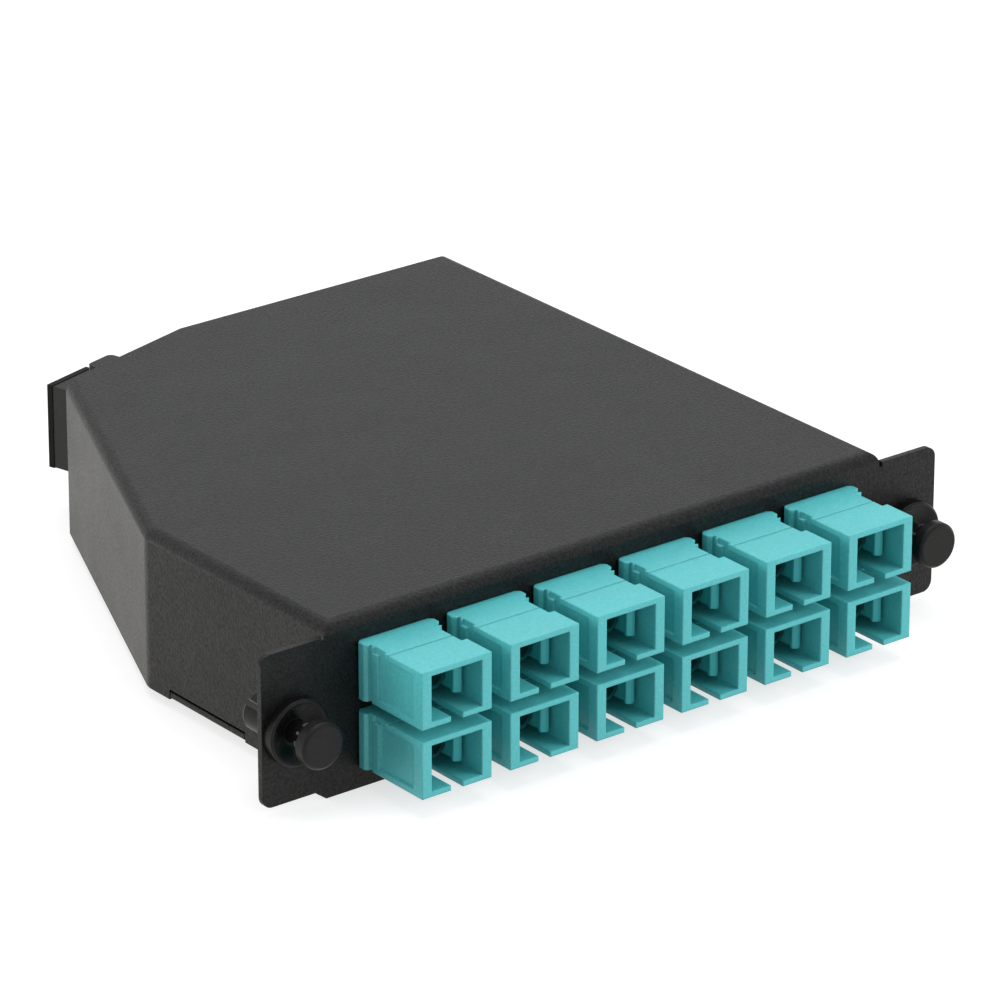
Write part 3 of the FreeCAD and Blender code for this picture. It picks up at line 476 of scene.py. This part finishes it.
def newTree(name, inputs):
    tree = bpy.data.node_groups.new(name, "GeometryNodeTree")
    tree.interface.new_socket("Geometry", in_out="INPUT", socket_type="NodeSocketGeometry")
    for socketName, socketType, default in inputs:
        socket = tree.interface.new_socket(socketName, in_out="INPUT", socket_type=socketType)
        if default is not None:
            socket.default_value = default
    tree.interface.new_socket("Geometry", in_out="OUTPUT", socket_type="NodeSocketGeometry")
    return tree, tree.nodes.new("NodeGroupInput"), tree.nodes.new("NodeGroupOutput")


def endTree(tree, geometry, start, end):  # the instances made real, with their finish
    real = tree.nodes.new("GeometryNodeRealizeInstances")
    finish = tree.nodes.new("GeometryNodeSetMaterial")
    tree.links.new(geometry, real.inputs["Geometry"])
    tree.links.new(real.outputs["Geometry"], finish.inputs["Geometry"])
    tree.links.new(start.outputs["Material"], finish.inputs["Material"])
    tree.links.new(finish.outputs["Geometry"], end.inputs["Geometry"])


def growPiece(name, mesh, tree, values):  # runs a tree on a mesh and keeps the plain result
    piece = bpy.data.objects.new(name, mesh)
    bpy.context.scene.collection.objects.link(piece)
    modifier = piece.modifiers.new("grow", "NODES")
    modifier.node_group = tree
    for item in tree.interface.items_tree:
        if item.in_out == "INPUT" and item.name in values:
            modifier[item.identifier] = values[item.name]
    return applyModifiers(piece)


def makeScrewTree():  # one screw on every point
    tree, start, end = newTree("screwPattern", [
        ("Screw", "NodeSocketObject", None), ("Material", "NodeSocketMaterial", None)])
    nodes, links = tree.nodes, tree.links
    screw = nodes.new("GeometryNodeObjectInfo")
    links.new(start.outputs["Screw"], screw.inputs["Object"])
    place = nodes.new("GeometryNodeInstanceOnPoints")
    links.new(start.outputs["Geometry"], place.inputs["Points"])
    links.new(screw.outputs["Geometry"], place.inputs["Instance"])
    endTree(tree, place.outputs["Instances"], start, end)
    return tree


def makeRibTree():  # ribs set round the Y axis, each leaning by the given angle
    tree, start, end = newTree("ribRing", [
        ("Count", "NodeSocketInt", 8), ("Radius", "NodeSocketFloat", 0.002),
        ("Place", "NodeSocketVector", (0, 0, 0)),
        ("Rib Size", "NodeSocketVector", (0.001, 0.001, 0.0005)), ("Lean", "NodeSocketFloat", 0.0),
        ("Material", "NodeSocketMaterial", None)])
    nodes, links = tree.nodes, tree.links
    points = nodes.new("GeometryNodeMeshLine")
    links.new(start.outputs["Count"], points.inputs["Count"])
    index = nodes.new("GeometryNodeInputIndex")
    share = addMath(nodes, links, "DIVIDE", index.outputs["Index"], start.outputs["Count"])
    angle = addMath(nodes, links, "MULTIPLY", share, 2 * math.pi)
    ring = nodes.new("ShaderNodeCombineXYZ")
    for axis, operation in (("X", "COSINE"), ("Z", "SINE")):
        turned = addMath(nodes, links, operation, angle)
        links.new(addMath(nodes, links, "MULTIPLY", turned, start.outputs["Radius"]), ring.inputs[axis])
    offset = nodes.new("ShaderNodeVectorMath")
    links.new(ring.outputs["Vector"], offset.inputs[0])
    links.new(start.outputs["Place"], offset.inputs[1])
    move = nodes.new("GeometryNodeSetPosition")
    links.new(points.outputs["Mesh"], move.inputs["Geometry"])
    links.new(offset.outputs["Vector"], move.inputs["Position"])
    rib = nodes.new("GeometryNodeMeshCube")
    links.new(start.outputs["Rib Size"], rib.inputs["Size"])
    lean = nodes.new("ShaderNodeCombineXYZ")
    links.new(start.outputs["Lean"], lean.inputs["Z"])
    leaning = nodes.new("GeometryNodeTransform")
    links.new(rib.outputs["Mesh"], leaning.inputs["Geometry"])
    links.new(lean.outputs["Vector"], leaning.inputs["Rotation"])
    turn = nodes.new("ShaderNodeCombineXYZ")
    links.new(addMath(nodes, links, "MULTIPLY", angle, -1.0), turn.inputs["Y"])
    place = nodes.new("GeometryNodeInstanceOnPoints")
    links.new(move.outputs["Geometry"], place.inputs["Points"])
    links.new(leaning.outputs["Geometry"], place.inputs["Instance"])
    links.new(turn.outputs["Vector"], place.inputs["Rotation"])
    endTree(tree, place.outputs["Instances"], start, end)
    return tree


# Folded case

caseLook = {"edge": 0.16, "coverSegments": 3, "panSegments": 2,
            "folds": {"places": [(-53.45, 44.3)], "radius": 0.9, "segments": 5, "profile": 0.5,
                      "lean": 0.05, "shortest": 8, "reach": 0.4}}
softened("top_cover", "case", powderCoat,
         caseLook["edge"], caseLook["coverSegments"], caseLook["folds"])
softened("base_pan", "case", powderCoat, caseLook["edge"], caseLook["panSegments"])
print("case ready")


# Simplex adapters

adapterLook = {"housingEdge": 0.2, "insertEdge": 0.08, "mouldedSegments": 2, "clipEdge": 0.05, "clipSegments": 1,
               "armStart": -8.0, "armForward": 1.3, "armOut": 0.5,
               "deepFrom": -4.5, "barrelHalf": 2.74, "barrelEnd": -9.8}


def spreadArms(piece, middle):  # the latch arms' tips reach further out and forward than the solid's
    for vert in piece.data.vertices:
        if vert.co.y < adapterLook["armStart"] * mm:
            vert.co.y -= adapterLook["armForward"] * mm
            vert.co.x += math.copysign(adapterLook["armOut"] * mm, vert.co.x - middle)


def takesPaintedShade(place, middle):  # faces at the bulkhead's depth and on the sleeve's barrel, which the port's light hardly reaches, get painted shade
    nearAxis = abs(place.x - middle) < adapterLook["barrelHalf"] * mm
    return place.y > adapterLook["deepFrom"] * mm or place.y > adapterLook["barrelEnd"] * mm and nearAxis


for placeName in placeNames:
    softened(f"adapter_housing_{placeName}", "case", aquaPlastic,
             adapterLook["housingEdge"], adapterLook["mouldedSegments"])
    insert = softened(f"adapter_insert_{placeName}", "case", insertPlastic,
                      adapterLook["insertEdge"], adapterLook["mouldedSegments"])
    low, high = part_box(f"adapter_insert_{placeName}")
    centreX = (low.x + high.x) / 2
    spreadArms(insert, centreX)
    # the deep faces take the painted shade
    finishFaces(insert, paintedShadeInsert, lambda place: takesPaintedShade(place, centreX))
    softened(f"adapter_clip_{placeName}", "case", springSteel,
             adapterLook["clipEdge"], adapterLook["clipSegments"])
print("adapters ready")


# CAD nodes that keep their own shape and take a finish

plainNodes = {
    "alignment_sleeves": ceramic, "cover_standoffs": zincSteel,
    "fibre_guides": mouldedBlack, "rear_adapter_clip": springSteel,
}
for nodeName, material in plainNodes.items():
    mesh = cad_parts[nodeName].data
    for index in range(len(mesh.materials)):
        mesh.materials[index] = material
print("plain nodes ready")


# Rear adapter: its end collar is duller than the rest

rearLook = {"edge": 0.15, "segments": 2, "wallTurn": 15.3, "collar": 1.2}
wallTurn = math.radians(rearLook["wallTurn"])
outward = Vector((-math.sin(wallTurn), math.cos(wallTurn), 0))
rearHousing = softened("rear_adapter_housing", "case", mouldedBlack,
                       rearLook["edge"], rearLook["segments"])
rearEnd = max(vert.co.dot(outward) for vert in rearHousing.data.vertices)
finishFaces(rearHousing, collarBlack, lambda middle: middle.dot(outward) > rearEnd - rearLook["collar"] * mm)
print("rear adapter ready")


# Push-pull latches: grommet, plunger and the ribs on the plunger's neck

latchLook = {"edge": 0.18, "segments": 2, "slotTurn": 45,
             "ribs": 10, "ribRadius": 2.4, "ribMiddle": -5.55, "ribSize": (1.1, 1.5, 0.4), "ribLean": 29.7}
ribTree = makeRibTree()
for side in sides:
    grommet = softened(f"latch_grommet_{side}", "case", grommetBlack,
                       latchLook["edge"], latchLook["segments"])
    softened(f"latch_plunger_{side}", f"{side}_plunger", nylonBlack,
             latchLook["edge"], latchLook["segments"])
    low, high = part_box(f"latch_plunger_{side}")
    axis = Matrix.Translation(((low.x + high.x) / 2, 0, (low.z + high.z) / 2))
    turned = axis @ Matrix.Rotation(math.radians(latchLook["slotTurn"]), 4, "Y") @ axis.inverted()
    grommet.data.transform(turned)
    # the ribs carry the painted-highlight grey
    ribs = growPiece(f"neckRibs_{side}", bpy.data.meshes.new("ribStart"), ribTree, {
        "Count": latchLook["ribs"], "Radius": latchLook["ribRadius"] * mm,
        "Place": ((low.x + high.x) / 2, latchLook["ribMiddle"] * mm, (low.z + high.z) / 2),
        "Rib Size": [length * mm for length in latchLook["ribSize"]],
        "Lean": math.radians(latchLook["ribLean"]), "Material": ribHighlightNylon})
    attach(ribs, f"{side}_plunger")
print("latches ready")


# Screws under the pan: domed heads with a cross recess, on plain shanks

screwLook = {"headRadius": 2.7, "headHeight": 1.5, "headEase": 0.12,
             "shankRadius": 1.45, "tipEase": 0.4, "segments": 32,
             "domeRise": 0.55, "dome": [(0.45, 0.12), (0.75, 0.45), (0.93, 1.0), (1.0, 1.6)],
             "crossLength": 3.1, "crossWidth": 0.75, "crossDepth": 0.95, "crossAbove": 0.2,
             "crossMouth": 1.15, "crossTaper": 0.55}


def makeScrewForm(length):  # the seat of the head at the origin, the head downwards
    look = screwLook
    work = bmesh.new()
    rim, height, rise, ease = look["headRadius"], look["headHeight"], look["domeRise"], look["headEase"]
    shank, tip = look["shankRadius"], look["tipEase"]
    profile = [(0, -height)] + [(rim * share, -height + rise * lift) for share, lift in look["dome"]]
    profile += [(rim, -ease), (rim - ease, 0), (shank, 0), (shank, length - tip), (shank - tip, length), (0, length)]
    rings = []
    for radius, level in profile:
        steps = look["segments"] if radius else 1
        rings.append([work.verts.new((radius * mm * math.cos(2 * math.pi * step / steps),
                                      radius * mm * math.sin(2 * math.pi * step / steps), level * mm))
                      for step in range(steps)])
    for first, second in zip(rings, rings[1:]):
        for step in range(look["segments"]):
            after = (step + 1) % look["segments"]
            corners = [first[step % len(first)], first[after % len(first)],
                       second[after % len(second)], second[step % len(second)]]
            work.faces.new(list(dict.fromkeys(corners)))
    return meshFrom("screwForm", work)


def makeCrossForm():  # a tapered cross that cuts the recess
    look = screwLook
    work = bmesh.new()
    rings = []
    for level, share in ((-look["headHeight"] - look["crossAbove"], look["crossMouth"]),
                         (-look["headHeight"] + look["crossDepth"], look["crossTaper"])):
        far, near = look["crossLength"] / 2 * share, look["crossWidth"] / 2 * share
        outline = [(near, far), (-near, far), (-near, near), (-far, near), (-far, -near), (-near, -near),
                   (-near, -far), (near, -far), (near, -near), (far, -near), (far, near), (near, near)]
        rings.append([work.verts.new((x * mm, y * mm, level * mm)) for x, y in outline])
    for step in range(len(outline)):
        after = (step + 1) % len(outline)
        work.faces.new((rings[0][step], rings[0][after], rings[1][after], rings[1][step]))
    for ring in rings:
        work.faces.new(ring)
    return meshFrom("crossForm", work)


islands = findIslands("base_screws")
seatLevel = islands[0][0].z + screwLook["headHeight"] * mm
screw = newPiece("screwForm", makeScrewForm((islands[0][1].z - seatLevel) / mm), zincSteel)
cross = newPiece("crossForm", makeCrossForm(), zincSteel)
cut = screw.modifiers.new("recess", "BOOLEAN")
cut.operation = "DIFFERENCE"
cut.solver = "EXACT"
cut.object = cross
applyModifiers(screw)
places = bpy.data.meshes.new("screwPlaces")
places.from_pydata([((low.x + high.x) / 2, (low.y + high.y) / 2, seatLevel) for low, high in islands], [], [])
screws = growPiece("base_screws_shown", places, makeScrewTree(), {"Screw": screw, "Material": zincSteel})
for form in (screw, cross):
    bpy.data.objects.remove(form)
shadeByAngle(screws)
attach(screws, "case")
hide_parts("base_screws")
print("screws ready")


# Floor, light and camera

stageLook = {"floorSize": 8.0, "floorGrey": 0.48, "glow": 0.66, "worldLevel": 0.55, "worldShine": 0.94,
             "white": (1.0, 1.0, 1.0), "floorTint": (1.0, 0.985, 0.925), "worldTint": (0.975, 0.98, 1.0)}


def makeFloor():  # its glow is only seen, by the camera and in gloss, and lights nothing matt
    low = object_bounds()[0][2]
    half = stageLook["floorSize"] / 2
    mesh = bpy.data.meshes.new("floor")
    corners = [(-half, -half, low), (half, -half, low), (half, half, low), (-half, half, low)]
    mesh.from_pydata(corners, [], [(0, 1, 2, 3)])
    material = bpy.data.materials.new("paleFloor")
    material.use_nodes = True
    nodes, links = material.node_tree.nodes, material.node_tree.links
    nodes.clear()
    output = nodes.new("ShaderNodeOutputMaterial")
    diffuse = nodes.new("ShaderNodeBsdfDiffuse")
    grey = stageLook["floorGrey"]
    diffuse.inputs["Color"].default_value = (grey, grey, grey, 1)
    emission = nodes.new("ShaderNodeEmission")
    path = nodes.new("ShaderNodeLightPath")
    seen = addMath(nodes, links, "MAXIMUM", path.outputs["Is Camera Ray"], path.outputs["Is Glossy Ray"])
    seen = addMath(nodes, links, "MAXIMUM", seen, path.outputs["Is Transmission Ray"])
    links.new(addMath(nodes, links, "MULTIPLY", seen, stageLook["glow"]), emission.inputs["Strength"])
    tint = mixColour(nodes, links, path.outputs["Is Camera Ray"], stageLook["floorTint"], stageLook["white"])
    links.new(tint, emission.inputs["Color"])
    both = nodes.new("ShaderNodeAddShader")
    links.new(diffuse.outputs["BSDF"], both.inputs[0])
    links.new(emission.outputs["Emission"], both.inputs[1])
    links.new(both.outputs["Shader"], output.inputs["Surface"])
    floor = newPiece("floor", mesh, material)


def makeWorld():  # white to the camera, a soft light to the pieces and a brighter one in their gloss
    world = bpy.data.worlds.new("studio")
    bpy.context.scene.world = world
    world.use_nodes = True
    nodes, links = world.node_tree.nodes, world.node_tree.links
    background = nodes["Background"]
    path = nodes.new("ShaderNodeLightPath")
    tint = mixColour(nodes, links, path.outputs["Is Camera Ray"], stageLook["worldTint"], stageLook["white"])
    links.new(tint, background.inputs["Color"])
    seen = addMath(nodes, links, "MAXIMUM", path.outputs["Is Camera Ray"], path.outputs["Is Transmission Ray"])
    shine = addRange(nodes, links, path.outputs["Is Glossy Ray"], 0.0, 1.0,
                     stageLook["worldLevel"], stageLook["worldShine"])
    links.new(addRange(nodes, links, seen, 0.0, 1.0, shine, 1.0), background.inputs["Strength"])


lampLooks = {  # the soft lamps; shine tells whether a lamp shows in gloss
    "topBox": {"place": (0.1, 0.1, 0.95), "aim": (0, 0.03, 0), "size": (0.8, 0.8),
               "watts": 4.2, "tint": (0.97, 0.985, 1.0), "shine": True},
    "frontBox": {"place": (0.75, -0.9, 0.45), "aim": (0, 0, 0), "size": (0.7, 0.7),
                 "watts": 9.8, "tint": (1.0, 1.0, 1.0), "shine": False},
    "leftBox": {"place": (-0.75, 0.5, 0.25), "aim": (0, 0.03, 0), "size": (0.9, 0.35),
                "watts": 5.5, "tint": (1.0, 0.985, 0.94), "shine": False},
}


def makeLamp(name, look):
    data = bpy.data.lights.new(name, "AREA")
    data.shape = "RECTANGLE"
    data.size, data.size_y = look["size"]
    data.energy = look["watts"]
    data.color = look["tint"]
    lamp = bpy.data.objects.new(name, data)
    bpy.context.scene.collection.objects.link(lamp)
    lamp.location = look["place"]
    aim = Vector(look["aim"]) - Vector(look["place"])
    lamp.rotation_euler = aim.to_track_quat("-Z", "Y").to_euler()
    lamp.visible_glossy = look["shine"]


cameraLook = {"place": (-0.56728, -0.69693, 0.40274), "azimuth": 38.125, "elevation": 23.05, "roll": 0.09,
              "focalPixels": 6525.0, "imagePixels": 1000.0, "sensor": 36.0, "clip": (0.05, 20.0)}


def makeCamera():
    data = bpy.data.cameras.new("camera")
    data.sensor_width = cameraLook["sensor"]
    data.lens = cameraLook["focalPixels"] / cameraLook["imagePixels"] * cameraLook["sensor"]
    data.clip_start, data.clip_end = cameraLook["clip"]
    camera = bpy.data.objects.new("camera", data)
    bpy.context.scene.collection.objects.link(camera)
    turn = Matrix.Rotation(math.radians(-cameraLook["azimuth"]), 4, "Z")
    tilt = Matrix.Rotation(math.radians(90 - cameraLook["elevation"]), 4, "X")
    roll = Matrix.Rotation(math.radians(cameraLook["roll"]), 4, "Z")
    camera.matrix_world = Matrix.Translation(cameraLook["place"]) @ turn @ tilt @ roll
    bpy.context.scene.camera = camera


makeFloor()
makeWorld()
for lampName, lampLook in lampLooks.items():
    makeLamp(lampName, lampLook)
makeCamera()
bpy.context.scene.view_settings.view_transform = "Standard"
print("stage ready")
